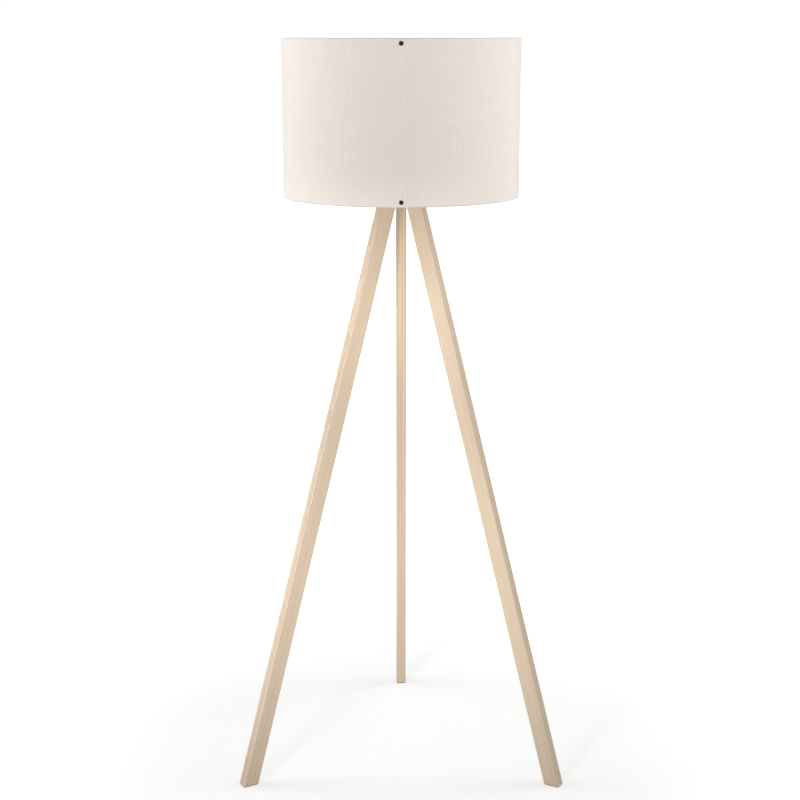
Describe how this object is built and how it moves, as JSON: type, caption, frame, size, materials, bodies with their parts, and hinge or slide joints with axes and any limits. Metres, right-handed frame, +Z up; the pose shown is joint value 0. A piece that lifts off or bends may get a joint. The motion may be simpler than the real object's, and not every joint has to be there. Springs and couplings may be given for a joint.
{
  "type": "tripod floor lamp",
  "caption": "Floor lamp: a cylindrical fabric drum shade on splayed straight wooden legs that meet at a round wooden plate.",
  "frame": {"origin": "on the floor, on the lamp's upright axis, in the middle of the three feet", "axes": "+Z up the lamp's axis; the front, with the shade's seam and two of the legs, faces -Y; the third leg points to +Y"},
  "size_m": [0.6214, 0.5749, 1.4],
  "materials": {
    "leg_wood": "pale straight-grained beech or pine, sanded, clear matt lacquer",
    "plate_wood": "pale turned wood, sanded, clear matt lacquer",
    "felt": "pressed brown wool felt",
    "zinc_steel": "bright zinc plate",
    "black_plastic": "moulded thermoset, fine matt",
    "steatite": "unglazed white steatite",
    "contact_brass": "plain brass",
    "opal_diffuser": "opal diffuser, satin",
    "white_plastic": "white moulded plastic",
    "nickel_cap": "nickel-plated pressed cap",
    "black_glass": "black vitrite",
    "board_aluminium": "white solder mask on aluminium",
    "shade_fabric": "off-white linen-look fabric laminated on white plastic lining",
    "white_wire": "white powder coat",
    "black_rivet": "black moulded snap rivet"
  },
  "bodies": {
    "stand": {"leg_rear": "leg_wood", "leg_front_left": "leg_wood", "leg_front_right": "leg_wood", "felt_pads": "felt", "top_plate": "plate_wood", "hanger_bolts": "zinc_steel", "plate_washers": "zinc_steel", "plate_nuts": "zinc_steel", "threaded_nipple": "zinc_steel", "nipple_washer": "zinc_steel", "nipple_lock_nut": "zinc_steel", "cord_inlet_bush": "black_plastic", "holder_cap": "black_plastic", "holder_body": "black_plastic", "contact_block": "steatite", "screw_shell": "contact_brass", "centre_contact": "contact_brass", "terminal_screws": "contact_brass"},
    "lower_nut": {"shade_nut_lower": "black_plastic"},
    "upper_nut": {"shade_nut_upper": "black_plastic"},
    "shade": {"shade_panel": "shade_fabric", "upper_wire_ring": "white_wire", "lower_wire_ring": "white_wire", "fitter_ring": "white_wire", "spider_arms": "white_wire", "seam_rivet_heads": "black_rivet", "seam_rivet_backs": "black_rivet"},
    "bulb": {"bulb_globe": "opal_diffuser", "bulb_skirt": "white_plastic", "bulb_cap": "nickel_cap", "bulb_insulator": "black_glass", "bulb_tip": "contact_brass", "led_board": "board_aluminium"}
  },
  "joints": [
    {"name": "shade_turn", "type": "hinge", "parent": "stand", "child": "shade", "pos_m": [0, 0, 1.1734], "axis": [0, 0, 1], "continuous": true},
    {"name": "upper_nut_turn", "type": "hinge", "parent": "stand", "child": "upper_nut", "pos_m": [0, 0, 1.178], "axis": [0, 0, 1], "continuous": true},
    {"name": "lower_nut_turn", "type": "hinge", "parent": "stand", "child": "lower_nut", "pos_m": [0, 0, 1.169], "axis": [0, 0, 1], "continuous": true},
    {"name": "bulb_turn", "type": "hinge", "parent": "stand", "child": "bulb", "pos_m": [0, 0, 1.179], "axis": [0, 0, 1], "continuous": true}
  ]
}
